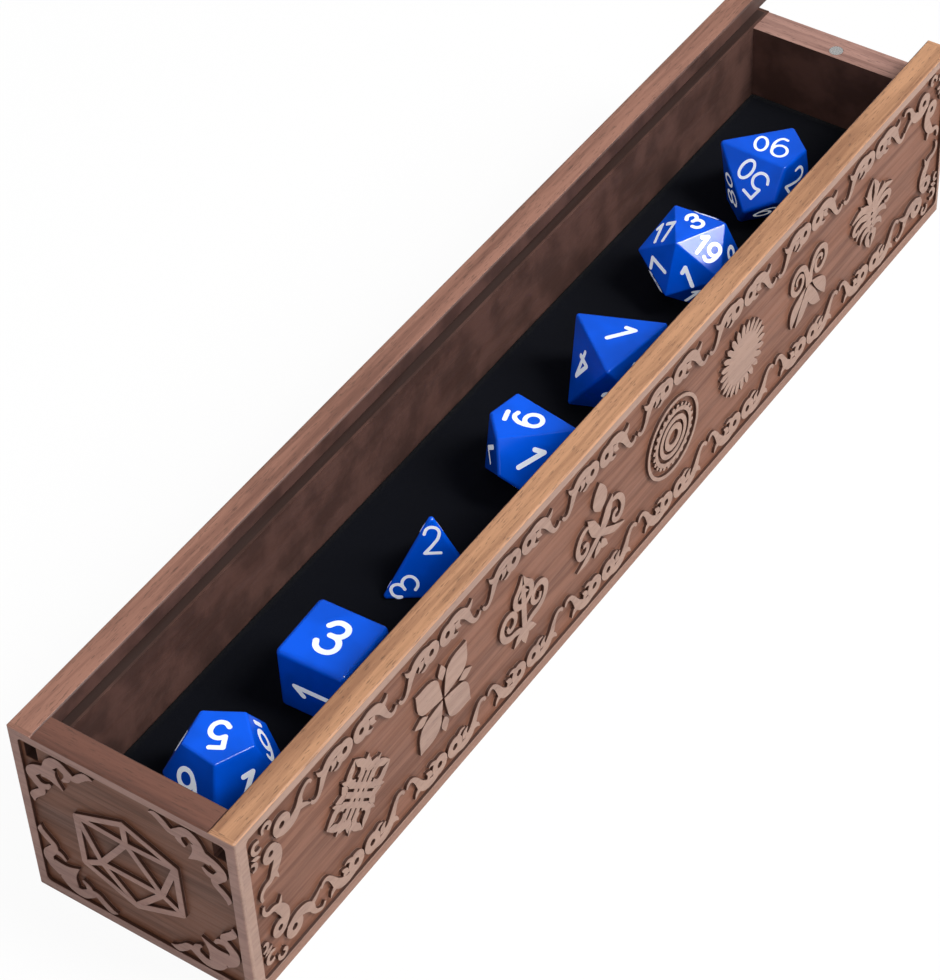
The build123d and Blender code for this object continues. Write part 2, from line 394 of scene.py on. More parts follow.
def walnut(name, face, rail=None, grounds=None, inside=None, tip=None, along="Y", top=RIM_Z,
           seed=0.0):
    """Oiled walnut: soft bands, fine streaks and short pores along the grain.

    The grounds are the scorched tones of the long and of the end fields, and the tip is the
    tone of the wall's own end faces. The long ground also darkens the foot of the long faces,
    as painted shade near the floor. The sides of all that the laser cut are burnt.
    """
    s = Shader(name)
    mirrored = s.add("VectorMath", {0: s.position()}, operation="ABSOLUTE").outputs[0]
    grain, short = grain_places(s, mirrored, along, seed)
    bands = s.noise(grain, 0.12, detail=2, roughness=0.5, distortion=0.9)
    streaks = s.noise(grain, 0.75, detail=5, roughness=0.6, distortion=0.4)
    pores = s.noise(short, 3.6, detail=2, roughness=0.6)
    holes = s.ramp(pores, 0.32, 0.42, 1.0, 0.0)
    tone, contrast, depth = outer_tones(s, mirrored, face, rail, grounds, tip, top)
    light = s.blend(HONEY_SHARE, tone, HONEY, "SOFT_LIGHT")
    dark = s.blend(contrast, tone, UMBER, "MULTIPLY")
    figure = s.math("ADD", s.math("MULTIPLY", bands, 0.5), s.math("MULTIPLY", streaks, 0.5))
    wood = s.blend(s.ramp(figure, 0.34, 0.60), dark, light)
    wood = s.blend(s.math("MULTIPLY", holes, depth), wood, PORE)
    if inside is not None:
        wood = hollow_tones(s, mirrored, wood, inside, top)
    side, end = field_layer(s, mirrored, top, CARVING_DEPTH - GROUND_REACH, FACE_REACH)
    wood = s.blend(s.math("MAXIMUM", side, end), wood, BURNT)
    relief = s.math("SUBTRACT", streaks, s.math("MULTIPLY", holes, 0.5))
    s.set(Base_Color=wood, Roughness=s.ramp(streaks, 0.3, 0.7, 0.62, 0.46))
    s.set(Normal=s.bump(relief, 0.05, 0.3), Specular_IOR_Level=0.2)
    return s.material


def dress(node, material):
    """Gives a node of the frame its material."""
    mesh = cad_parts[node].data
    mesh.materials.clear()
    mesh.materials.append(material)


# ---------------------------------------------------------------- carved shapes
# A shape is drawn flat, in millimetres, as strokes (x, y, half width) or as plates (x, y).
def stroke(*points, loop=False, sharp=False):
    return {"kind": "stroke", "points": [tuple(p) for p in points], "loop": loop, "sharp": sharp}


def plate(*points, corners=()):
    """A filled outline; corners are the places in its list that are sharp."""
    return {"kind": "plate", "points": [tuple(p) for p in points], "corners": set(corners)}


def leaf(base, tip, width, bulge=0.45, lean=0.0):
    """A leaf from its base to its tip; bulge is where it is widest and lean bends its belly."""
    base, tip = Vector(base), Vector(tip)
    shoulder_lean, shoulder_share = 0.7, 0.62
    along = tip - base
    across = Vector((-along.y, along.x)).normalized()
    belly = base + along * bulge + across * lean
    shoulder = base + along * (0.5 + bulge / 2) + across * lean * shoulder_lean
    half = across * width / 2
    narrow = half * shoulder_share
    return plate(
        base, belly + half, shoulder + narrow, tip, shoulder - narrow, belly - half,
        corners=(0, 3),
    )


def circle(x, y, radius, points):
    """Points round a circle about (x, y)."""
    angles = [2 * math.pi * i / points for i in range(points)]
    return [(x + radius * math.cos(a), y + radius * math.sin(a)) for a in angles]


def disc(x, y, radius, points=8):
    return plate(*circle(x, y, radius, points))


def ring(radius, half_width, x=0.0, y=0.0, points=12):
    return stroke(*((*p, half_width) for p in circle(x, y, radius, points)), loop=True)


def bar(start, end, half_width):
    return stroke((*start, half_width), (*end, half_width), sharp=True)


def changed(shapes, move):
    """The shapes with move(x, y) applied to each of their points."""
    made = []
    for shape in shapes:
        points = [(*move(p[0], p[1]), *p[2:]) for p in shape["points"]]
        made.append({**shape, "points": points})
    return made


def moved(shapes, x, y, scale=1.0, turn=0.0):
    """The shapes scaled, turned by an angle in degrees and moved."""
    c, s = math.cos(math.radians(turn)) * scale, math.sin(math.radians(turn)) * scale
    made = changed(shapes, lambda u, v: (x + c * u - s * v, y + s * u + c * v))
    for shape in made:
        if shape["kind"] == "stroke":
            shape["points"] = [(u, v, w * scale) for u, v, w in shape["points"]]
    return made


def flipped(shapes, x=False, y=False, swap=False):
    """The shapes mirrored in x or y, or with x and y swapped."""
    def move(u, v):
        u, v = (-u if x else u), (-v if y else v)
        return (v, u) if swap else (u, v)
    return changed(shapes, move)


def both_sides(shapes):
    return shapes + flipped(shapes, x=True)


def round_about(shapes, count):
    return [s for i in range(count) for s in moved(shapes, 0, 0, turn=360 * i / count)]


# ---- the parts of the carving ----
HEAD_BAND = 0.34


def scroll(head, body, spur):
    """A curled head (x, y, radius), a body that swells and runs out, and a spur off its back."""
    x, y, radius = head
    band = HEAD_BAND * radius
    return [ring(radius - band, band, x, y, points=10), stroke(*body), stroke(*spur)]


def level_scroll():
    """Half of the pair of scrolls that stands over a motif."""
    return scroll(
        (2.7, 0.1, 2.55),
        [(2.9, 2.0, 0.5), (5.4, 2.1, 1.05), (7.5, 1.5, 1.25), (9.1, 0.0, 1.1),
         (10.1, -1.9, 0.8), (11.0, -3.5, 0.6), (12.1, -4.5, 0.5), (13.2, -4.3, 0.45),
         (13.8, -3.4, 0.3)],
        [(9.0, 0.5, 0.8), (10.4, 0.9, 0.6), (11.4, 2.2, 0.1)],
    ) + [
        stroke((6.2, 0.6, 0.9), (6.2, -0.6, 0.75), (7.3, -1.6, 0.1)),
        stroke((3.9, -1.7, 0.6), (5.2, -2.5, 0.4), (6.3, -2.4, 0.1)),
    ]


def upright_scroll():
    """The scroll that rises along the end of a long face, from its corner."""
    return scroll(
        (6.2, 10.1, 2.3),
        [(7.4, 9.0, 0.5), (8.2, 10.6, 0.9), (8.0, 12.9, 1.3), (6.9, 15.1, 1.2),
         (5.2, 17.0, 0.7), (3.3, 17.4, 0.5), (2.2, 18.8, 0.45), (2.4, 20.4, 0.35)],
        [(6.2, 15.8, 0.8), (7.0, 17.0, 0.5), (7.6, 18.4, 0.1)],
    )


def corner_scroll():
    """The scroll that runs along the long border, from its corner."""
    return scroll(
        (10.2, 5.8, 2.6),
        [(8.2, 7.3, 0.4), (11.2, 8.1, 1.0), (13.8, 7.4, 1.3), (15.6, 5.7, 1.0),
         (16.2, 4.0, 0.6), (17.6, 2.6, 0.45), (19.0, 2.3, 0.4), (19.7, 3.2, 0.3)],
        [(15.4, 6.3, 0.8), (17.0, 7.1, 0.55), (19.0, 8.6, 0.1)],
    )


def corner_curls():
    """Small curls that fill the corner of a long face."""
    return [
        stroke((4.7, 3.0, 0.3), (4.9, 1.7, 0.45), (6.2, 1.2, 0.45), (7.1, 2.3, 0.45),
               (6.3, 3.2, 0.4)),
        stroke((3.9, 5.9, 0.3), (2.6, 6.1, 0.45), (1.5, 4.9, 0.5), (2.0, 3.5, 0.45),
               (3.5, 3.6, 0.4)),
        stroke((0.6, 7.9, 0.3), (1.8, 8.5, 0.45), (1.7, 9.9, 0.4), (0.8, 10.0, 0.2)),
        leaf((3.4, 7.9), (0.8, 6.6), 1.1),
    ]


def knot():
    """A woven diamond: three bands each way, a rim of small leaves and four crowns."""
    reach, pitch, half_width = 5.4, 2.05, 0.68
    bands = [bar((-reach, y), (reach, y), half_width) for y in (-pitch, 0.0, pitch)]
    lattice = moved(bands, 0, 0, turn=45) + moved(bands, 0, 0, turn=-45)
    crown = [
        stroke((0, 10.4, 0.1), (1.2, 8.5, 0.9), (2.3, 7.0, 0.9), (1.9, 5.4, 0.8),
               (0.6, 4.6, 0.6)),
        stroke((1.9, 6.0, 0.7), (3.4, 6.8, 0.6), (4.4, 8.0, 0.1)),
    ]
    side = [leaf((3.4, 3.4), (4.5, 7.0), 2.0), leaf((3.4, 3.4), (7.0, 4.5), 2.0)]
    return lattice + round_about(both_sides(crown), 4) + round_about(side, 4)


def blossom():
    """Four broad petals with four small leaves between them."""
    petal = plate(
        (0.35, 0.35), (3.4, 0.8), (7.6, 2.3), (8.6, 8.8), (2.3, 7.6), (0.8, 3.4),
        corners=(0, 3),
    )
    small = leaf((0, 5.4), (0, 9.9), 2.5)
    return round_about([petal, small], 4)


def palmette():
    """A stem with a two-lobed crown, a round volute at each side and a pointed foot."""
    half = [
        stroke(
            (0.5, -6.4, 0.6), (2.9, -5.2, 0.75), (6.2, -4.6, 0.78), (8.6, -2.4, 0.78),
            (8.4, 0.6, 0.75), (5.9, 1.9, 0.72), (3.6, 0.4, 0.68), (3.9, -1.9, 0.6),
            (5.9, -2.5, 0.5), (6.7, -1.0, 0.4),
        ),
        stroke((0.5, 0.6, 0.7), (2.8, 2.0, 0.8), (3.1, 4.4, 0.8), (1.4, 6.2, 0.8),
               (0.2, 9.0, 0.1)),
        leaf((0.6, -5.8), (4.6, -9.0), 2.1, lean=-0.4),
    ]
    whole = both_sides(half) + [
        leaf((0, -11.0), (0, -5.0), 3.0),
        stroke((0, -9.0, 0.85), (0, -1.0, 0.85), (0, 6.2, 0.7)),
        stroke((-2.0, 3.4, 0.1), (0, 4.2, 0.8), (2.0, 3.4, 0.1)),
    ]
    breadth = 0.9
    return changed(whole, lambda x, y: (x * breadth, y))


def bud():
    """A bud in a cup of leaves, over crossing ribbons, with a curl at each side."""
    half = [
        stroke((0.2, -3.8, 1.0), (2.0, -1.6, 1.5), (3.3, 1.0, 1.3), (4.7, 3.4, 0.1)),
        stroke((-1.2, -3.0, 0.8), (2.4, -5.4, 0.95), (5.6, -7.3, 0.9), (9.1, -8.2, 0.1)),
        stroke((3.9, 1.6, 0.3), (6.2, 1.5, 0.7), (8.2, -0.6, 0.8), (8.5, -3.4, 0.75),
               (7.0, -5.2, 0.7), (5.1, -4.4, 0.6), (5.3, -2.7, 0.55), (6.6, -2.5, 0.45)),
        leaf((0.4, -6.0), (2.6, -9.4), 2.2, lean=-0.5),
    ]
    return both_sides(half) + [
        plate((0, 2.4), (2.5, 4.9), (2.1, 8.0), (0, 10.7), (-2.1, 8.0), (-2.5, 4.9),
              corners=(0, 3)),
    ]


def rings():
    """Four rings one inside another, the second one with a beaded rim."""
    bead = disc(0, 7.5, 0.5, points=6)
    wide = [ring(9.7, 0.42, points=16), ring(6.7, 0.5, points=16)]
    return wide + [ring(4.7, 0.6), ring(2.6, 0.75)] + round_about([bead], 26)


def sunburst():
    """A plain disc with a short-toothed rim."""
    tooth = stroke((0, 5.6, 0.72), (0.1, 8.2, 0.72), (0.2, 9.3, 0.2))
    return [disc(0, 0, 6.3, points=16)] + round_about([tooth], 24)


def volutes():
    """Two spiral volutes on a stem, over four broad leaf blades."""
    half = [
        stroke(
            (0.3, -0.6, 1.1), (1.1, 3.4, 0.85), (3.3, 6.9, 0.8), (6.4, 6.9, 0.75),
            (8.0, 4.2, 0.72), (7.0, 1.4, 0.7), (4.2, 0.7, 0.65), (2.9, 3.0, 0.55),
            (3.9, 5.0, 0.5), (5.8, 4.6, 0.45), (5.8, 3.0, 0.3),
        ),
        plate((1.5, -0.6), (4.6, -1.7), (7.7, -3.8), (8.5, -6.4), (8.0, -9.2), (5.4, -6.6),
              (3.0, -3.4), corners=(0, 4)),
        plate((0, -0.4), (1.7, -2.5), (4.2, -6.2), (6.0, -10.2), (3.2, -9.4), (0.6, -7.0),
              (-0.3, -5.6), corners=(0, 3, 6)),
    ]
    return moved(both_sides(half), 0, 0, scale=0.93)


def leaf_cross():
    """A tulip over two sprays of curled leaves, with a pointed foot."""
    half = [
        stroke((0.1, 0.6, 0.6), (1.2, 3.4, 0.8), (1.7, 5.6, 1.1), (0.2, 8.9, 0.2)),
        stroke((1.5, 4.4, 0.7), (3.3, 5.9, 0.1)),
        stroke((0.2, -0.6, 0.7), (2.6, 2.0, 1.0), (5.4, 2.9, 1.0), (9.2, 2.2, 0.2)),
        stroke((4.2, 2.8, 0.8), (5.5, 4.6, 0.1)),
        stroke((0.2, -2.3, 0.7), (3.0, -0.1, 0.85), (6.0, 0.6, 0.8), (8.2, -0.6, 0.75),
               (7.4, -2.1, 0.5), (5.9, -1.7, 0.3)),
        stroke((0.1, -3.9, 0.7), (2.6, -2.4, 0.85), (5.2, -2.6, 0.8), (6.9, -4.3, 0.2)),
        stroke((0.1, -5.2, 0.7), (2.3, -4.6, 0.8), (4.0, -5.4, 0.7), (4.9, -7.0, 0.15)),
        stroke((0.1, -6.0, 0.5), (1.6, -7.3, 0.85), (1.2, -8.9, 0.9), (0.1, -11.0, 0.1)),
    ]
    return both_sides(half)


def twenty_sided(radius, half_width):
    """The lines of a twenty-sided die, with its nearest face in the middle."""
    rim = [(0, 1), (0.96, 0.57), (0.96, -0.57), (0, -1), (-0.96, -0.57), (-0.96, 0.57)]
    nearest = [(0, 0.52), (0.59, -0.33), (-0.59, -0.33)]
    outline = [(x * radius, y * radius) for x, y in rim]
    inner = [(x * radius, y * radius) for x, y in nearest]
    lines = [(outline[i], outline[(i + 1) % 6]) for i in range(6)]
    for i in range(3):
        lines.append((inner[i], inner[(i + 1) % 3]))
        lines += [(inner[i], outline[(2 * i + step) % 6]) for step in (-1, 0, 1)]
    joints = [disc(x, y, half_width) for x, y in outline + inner]
    return [bar(a, b, half_width) for a, b in lines] + joints


def corner_flourish(gap=0.0):
    """A broad leaf between two waving arms; the corner is at the origin.

    The arms start farther from the corner by the gap.
    """
    arm = [
        stroke(
            (4.6 + gap, 4.4 + gap, 0.9), (6.8 + gap / 2, 2.4 + gap / 2, 1.25), (9.1, 1.8, 1.2),
            (11.1, 3.0, 1.1), (12.9, 3.9, 0.8), (14.7, 2.4, 0.9), (16.3, 1.2, 0.85),
            (17.8, 1.3, 0.1),
        ),
        stroke((11.3, 3.1, 0.9), (11.2, 5.0, 0.75), (9.9, 6.4, 0.3)),
    ]
    wedge = plate((4.2 + gap, 4.2 + gap), (6.2, 3.3 + gap), (8.4, 3.3 + gap), (8.2, 6.0),
                  (9.6, 9.6), (6.0, 8.2), (3.3 + gap, 8.4), (3.3 + gap, 6.2),
                  corners=(0, 2, 4, 6))
    return arm + flipped(arm, swap=True) + [wedge]


# ---- from flat shapes to carved pieces, in millimetres ----
# Shapes of a piece that overlap lie on layers, each a hair under the one before.
LAYER_STEP = 0.003
LAYERS = 30
RELIEF_ROOT = 0.1
CURVE_STEPS = 5
WELD = 0.01
SLIVER = 0.005


def curve_of(shape):
    """A Blender curve of a flat shape, with its points in millimetres."""
    data = bpy.data.curves.new("flat", "CURVE")
    spline = data.splines.new("BEZIER")
    spline.bezier_points.add(len(shape["points"]) - 1)
    for i, (dot, point) in enumerate(zip(spline.bezier_points, shape["points"])):
        dot.co = (point[0], point[1], 0)
        sharp = shape.get("sharp") or i in shape.get("corners", ())
        dot.handle_left_type = dot.handle_right_type = "VECTOR" if sharp else "AUTO"
        if shape["kind"] == "stroke":
            dot.radius = point[2]
            dot.tilt = math.pi / 2
    data.resolution_u = CURVE_STEPS
    if shape["kind"] == "stroke":
        data.dimensions = "3D"
        data.twist_mode = "Z_UP"
        data.extrude = 1.0
        spline.use_cyclic_u = shape["loop"]
    else:
        data.dimensions = "2D"
        data.fill_mode = "BOTH"
        spline.use_cyclic_u = True
    return data


def slab_of(shape, top, thickness):
    """A bmesh of a flat shape, raised to top and as thick as asked, in millimetres."""
    data = curve_of(shape)
    holder = bpy.data.objects.new("flat", data)
    mesh = bpy.data.meshes.new_from_object(holder)
    slab = bmesh.new()
    slab.from_mesh(mesh)
    bpy.data.objects.remove(holder)
    bpy.data.curves.remove(data)
    bpy.data.meshes.remove(mesh)
    bmesh.ops.remove_doubles(slab, verts=slab.verts, dist=WELD)
    bmesh.ops.dissolve_degenerate(slab, dist=SLIVER, edges=slab.edges)
    grown = bmesh.ops.extrude_face_region(slab, geom=slab.faces[:])
    lifted = [g for g in grown["geom"] if isinstance(g, bmesh.types.BMVert)]
    bmesh.ops.translate(slab, verts=slab.verts, vec=(0, 0, top - thickness))
    bmesh.ops.translate(slab, verts=lifted, vec=(0, 0, thickness))
    bmesh.ops.recalc_face_normals(slab, faces=slab.faces)
    for face in slab.faces:
        face.smooth = False
    return slab


def mesh_of(name, shape):
    """A mesh of a bmesh, which is freed."""
    mesh = bpy.data.meshes.new(name)
    shape.to_mesh(mesh)
    shape.free()
    return mesh


def add_slab(joined, slab, matrix):
    """Adds a slab to a bmesh, placed by the matrix."""
    slab.transform(matrix)
    carrier = mesh_of("slab", slab)
    joined.from_mesh(carrier)
    bpy.data.meshes.remove(carrier)


def carve(name, shapes, plane, material, slot):
    """A piece of relief made of flat shapes, on a plane whose matrix is in millimetres."""
    joined = bmesh.new()
    for i, shape in enumerate(shapes):
        slab = slab_of(shape, -LAYER_STEP * (i % LAYERS), CARVING_DEPTH + RELIEF_ROOT)
        add_slab(joined, slab, plane)
    bmesh.ops.transform(joined, matrix=Matrix.Scale(MM, 4), verts=joined.verts)
    bmesh.ops.recalc_face_normals(joined, faces=joined.faces)
    place_piece(name, mesh_of(name, joined), material, slot, CHEST)


def place_piece(name, mesh, material, slot, body):
    """Adds a finished mesh to the scene, on the body that it rides on."""
    mesh.materials.clear()
    mesh.materials.append(material)
    piece = bpy.data.objects.new(name, mesh)
    bpy.context.scene.collection.objects.link(piece)
    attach(piece, body)
    return piece


def plane_at(origin, right, up):
    """The matrix of a plane from its origin, its right hand and its up direction."""
    right, up = Vector(right).normalized(), Vector(up).normalized()
    out = right.cross(up)
    rows = Matrix((right, up, out)).transposed().to_4x4()
    return Matrix.Translation(Vector(origin)) @ rows


# ---------------------------------------------------------------- operators
class CHEST_OT_wood(bpy.types.Operator):
    """Gives the walls, the base and the lid their walnut"""
    bl_idname = "dice_chest.wood"
    bl_label = "Walnut"

    def execute(self, context):
        wood = context.scene.chest_wood
        shared = {"grounds": (wood.ground, wood.end_ground), "inside": wood.inside}
        dress("right_side_wall", walnut(
            "walnut_right", wood.right_face, wood.right_rail, tip=wood.end_face, **shared))
        dress("left_side_wall", walnut(
            "walnut_left", wood.left_face, wood.left_rail, tip=wood.end_face, seed=3, **shared))
        dress("near_end_wall", walnut(
            "walnut_near", wood.end_face, wood.near_rail, along="X", seed=7, **shared))
        dress("far_end_wall", walnut(
            "walnut_far", wood.end_face, wood.far_rail, along="X", top=FAR_TOP_Z, seed=11,
            **shared))
        dress("base_panel", walnut("base_wood", wood.base, seed=17))
        dress("lid_panel", walnut("lid_wood", wood.lid, seed=23))
        return {"FINISHED"}


MOTIFS = [knot, blossom, palmette, bud, rings, sunburst, volutes, leaf_cross]
# From the edges of a long field to the middles of its level scrolls, in millimetres.
TOP_SCROLL_DROP = 4.9
LOW_SCROLL_RISE = 4.3
# How far the upper flourishes of the near end keep off the ends of the lid's grooves.
GROOVE_GAP = 1.2


class CHEST_OT_long_faces(bpy.types.Operator):
    """Carves eight motifs and a border of scrolls on each long face"""
    bl_idname = "dice_chest.long_faces"
    bl_label = "Long faces"

    def execute(self, context):
        wood = context.scene.chest_wood
        sides = {
            "right": (1, wood.right_face, "walnut_tan", 0),
            "left": (-1, wood.left_face, "walnut_brown", 3),
        }
        for side, (sign, tone, slot, seed) in sides.items():
            plane = plane_at((sign * OUTER_X, 0, 0), (0, sign, 0), (0, 0, 1))
            material = walnut(f"walnut_relief_{side}", tone, seed=seed)
            for name, shapes in self.pieces(context.scene.chest_carving):
                shapes = shapes if sign > 0 else flipped(shapes, x=True)
                carve(f"{side}_{name}", shapes, plane, material, slot)
        return {"FINISHED"}

    def pieces(self, carving):
        """Name and shapes of each piece of a long face, x along the chest and y up."""
        pitch, height = carving.motif_pitch / MM, carving.motif_height / MM
        first = -HALF_LENGTH + carving.first_motif / MM
        centres = [first + pitch * i for i in range(len(MOTIFS))]
        for centre, motif in zip(centres, MOTIFS):
            yield motif.__name__, moved(motif(), centre, height)
        top, low = RIM_Z - SIDE_BORDER_TOP, SIDE_BORDER_BOTTOM
        pair = both_sides(level_scroll())
        bands = {
            "top": moved(pair, 0, top - TOP_SCROLL_DROP),
            "low": moved(flipped(pair, y=True), 0, low + LOW_SCROLL_RISE),
        }
        for name, shapes in bands.items():
            yield f"scrolls_{name}", [s for c in centres for s in moved(shapes, c, 0)]
        corner = upright_scroll() + corner_scroll() + corner_curls()
        end = moved(flipped(corner, y=True), 0, top) + moved(corner, 0, low)
        yield "scrolls_near", moved(end, FIELD_LOW_Y, 0)
        yield "scrolls_far", moved(flipped(end, x=True), FIELD_HIGH_Y, 0)


class CHEST_OT_end_faces(bpy.types.Operator):
    """Carves the line figure and the corner flourishes on the end faces"""
    bl_idname = "dice_chest.end_faces"
    bl_label = "End faces"

    def execute(self, context):
        carving = context.scene.chest_carving
        tone = context.scene.chest_wood.end_face
        material = walnut("walnut_relief_ends", tone, along="X", seed=7)
        for end, sign, top in (("near", -1, RIM_Z), ("far", 1, FAR_TOP_Z)):
            plane = plane_at((0, sign * HALF_LENGTH, 0), (-sign, 0, 0), (0, 0, 1))
            share = top / RIM_Z
            radius, half_width = carving.figure_radius / MM, carving.bar_width / MM / 2
            figure = twenty_sided(share * radius, share * half_width)
            place = (carving.figure_aside / MM, top / 2 - carving.figure_drop / MM)
            carve(f"{end}_figure", moved(figure, *place), plane, material, "walnut_end")
            gap = GROOVE_GAP if end == "near" else 0.0
            low = moved(corner_flourish(), END_BORDER - OUTER_X, END_BORDER, share)
            high = flipped(moved(corner_flourish(gap), 0, 0, share), y=True)
            high = moved(high, END_BORDER - OUTER_X, top - END_BORDER)
            whole = both_sides(low + high)
            carve(f"{end}_flourishes", whole, plane, material, "walnut_end")
        return {"FINISHED"}


# The rounding of the foam's edges and the waves of the felt, in millimetres.
FOAM_EDGE = 0.8
NAP_WAVE = 0.12
WAVES_PER_MILLIMETRE = 0.06


class CHEST_OT_lining(bpy.types.Operator):
    """Lays the felt on its foam pad"""
    bl_idname = "dice_chest.lining"
    bl_label = "Felt and foam"

    def execute(self, context):
        lining = context.scene.chest_lining
        foam = self.foam(lining)
        self.felt(lining, foam)
        return {"FINISHED"}

    def foam(self, lining):
        """The pad under the felt, with rounded edges."""
        s = Shader("foam")
        cells = s.noise(s.position(), 2.6, detail=5)
        tone = s.blend(cells, lining.foam, dimmed(lining.foam, 2.2))
        s.set(Base_Color=tone, Roughness=0.95, Normal=s.bump(cells, 0.2, 0.8))
        low, high = millimetres("foam_pad")
        block = bmesh.new()
        bmesh.ops.create_cube(block, size=1.0)
        bmesh.ops.scale(block, verts=block.verts, vec=high - low)
        bmesh.ops.translate(block, verts=block.verts, vec=(high + low) / 2)
        bmesh.ops.bevel(block, geom=block.edges[:], offset=FOAM_EDGE, offset_type="OFFSET",
                        affect="EDGES", segments=3, profile=0.5, material=-1)
        bmesh.ops.scale(block, verts=block.verts, vec=(MM, MM, MM))
        mesh = mesh_of("foam_block", block)
        piece = place_piece("foam_block", mesh, s.material, "foam_black", CHEST)
        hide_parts("foam_pad")
        return piece

    def felt(self, lining, foam):
        """The felt, laid flat on the pad, with a soft nap between the dice."""
        s = Shader("felt")
        fibres = s.noise(s.position(), 3.2, detail=8, roughness=0.75, distortion=1.5)
        patches = s.noise(s.position(), 0.05, detail=2)
        tone = s.blend(fibres, dimmed(lining.felt, 0.4), lining.felt)
        tone = s.blend(s.math("MULTIPLY", patches, 0.4), tone, dimmed(lining.felt, 0))
        s.set(Base_Color=tone, Roughness=0.95, Normal=s.bump(fibres, 0.12, 0.9))
        s.set(Sheen_Weight=0.03, Sheen_Roughness=0.6, Specular_IOR_Level=0.03)
        low, high = millimetres("felt_liner")
        size = high - low
        step = lining.mesh_step / MM
        cells_x, cells_y = round(size.x / step), round(size.y / step)
        cloth = bmesh.new()
        bmesh.ops.create_grid(cloth, x_segments=cells_x, y_segments=cells_y, size=0.5)
        bmesh.ops.scale(cloth, verts=cloth.verts, vec=(size.x, size.y, 1))
        middle = (high + low) / 2
        bmesh.ops.translate(cloth, verts=cloth.verts, vec=(middle.x, middle.y, high.z))
        nap = lining.nap / MM
        for vertex in cloth.verts:
            wave = noise.noise(vertex.co * WAVES_PER_MILLIMETRE) * NAP_WAVE
            vertex.co.z += nap + wave
        bmesh.ops.scale(cloth, verts=cloth.verts, vec=(MM, MM, MM))
        mesh = mesh_of("felt_sheet", cloth)
        mesh.shade_smooth()
        piece = place_piece("felt_sheet", mesh, s.material, "felt_black", CHEST)
        body = piece.modifiers.new("thickness", "SOLIDIFY")
        body.thickness = (size.z + nap) * MM
        body.offset = -1
        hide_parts("felt_liner")


class CHEST_OT_magnets(bpy.types.Operator):
    """Plates the two magnets with nickel"""
    bl_idname = "dice_chest.magnets"
    bl_label = "Magnets"

    def execute(self, context):
        s = Shader("nickel")
        scratches = s.noise(s.position((1, 6, 1)), 3.0, detail=5)
        tone = s.blend(scratches, (0.62, 0.61, 0.60), (0.86, 0.86, 0.85))
        s.set(Base_Color=tone, Metallic=1.0, Roughness=s.ramp(scratches, 0.3, 0.7, 0.2, 0.38))
        s.set(Normal=s.bump(scratches, 0.01, 0.5))
        for node in ("end_magnet", "lid_magnet"):
            dress(node, s.material)
        return {"FINISHED"}


# ---- digits, one unit high, as strokes of (x, y) from the middle of their baseline ----
def oval(y, half_wide, half_high, count=12):
    """A closed loop about a middle that is y above the baseline."""
    angles = [2 * math.pi * i / count for i in range(count)]
    return "loop", [(half_wide * math.sin(a), y + half_high * math.cos(a)) for a in angles]


def digit_six():
    stem = [(0.22, 0.93), (0.06, 1.0), (-0.14, 0.88), (-0.26, 0.60), (-0.28, 0.32)]
    return [("smooth", stem), oval(0.305, 0.28, 0.305)]


def upside_down(strokes):
    return [(kind, [(-x, 1 - y) for x, y in points]) for kind, points in strokes]


DIGITS = {
    "0": [oval(0.5, 0.29, 0.5)],
    "1": [("sharp", [(0.10, 0.0), (0.10, 1.0), (-0.14, 0.78)])],
    "2": [("smooth", [(-0.26, 0.74), (-0.16, 0.94), (0.04, 1.0), (0.24, 0.88), (0.24, 0.64),
                      (0.06, 0.36), (-0.27, 0.0)]),
          ("sharp", [(-0.27, 0.0), (0.29, 0.0)])],
    "3": [("smooth", [(-0.27, 0.80), (-0.14, 0.96), (0.04, 1.0), (0.23, 0.89), (0.22, 0.66),
                      (0.06, 0.55), (-0.08, 0.54)]),
          ("smooth", [(-0.08, 0.54), (0.13, 0.52), (0.28, 0.36), (0.25, 0.11), (0.03, 0.0),
                      (-0.19, 0.07), (-0.29, 0.23)])],
    "4": [("sharp", [(0.12, 0.0), (0.12, 1.0), (-0.28, 0.28), (0.30, 0.28)])],
    "5": [("sharp", [(0.25, 1.0), (-0.17, 1.0), (-0.19, 0.56)]),
          ("smooth", [(-0.19, 0.56), (0.03, 0.63), (0.25, 0.50), (0.28, 0.24), (0.10, 0.02),
                      (-0.14, 0.03), (-0.27, 0.18)])],
    "6": digit_six(),
    "7": [("sharp", [(-0.26, 1.0), (0.27, 1.0), (-0.06, 0.0)])],
    "8": [oval(0.77, 0.22, 0.23), oval(0.27, 0.27, 0.27)],
    "9": upside_down(digit_six()),
    "_": [("sharp", [(-0.24, 0.0), (0.24, 0.0)])],
}

# ---- how digits are set, as shares of a numeral's height ----
DIGIT_WIDTH = 0.60
NARROW_DIGITS = {"1": 0.46}
DIGIT_GAP = 0.20
BASELINE = -0.5
MARKED_BASELINE = -0.38
MARK_DROP = 0.28
MARK_SCALE = 0.8
TENS_SCALE, UNITS_SCALE = 1.15, 0.88

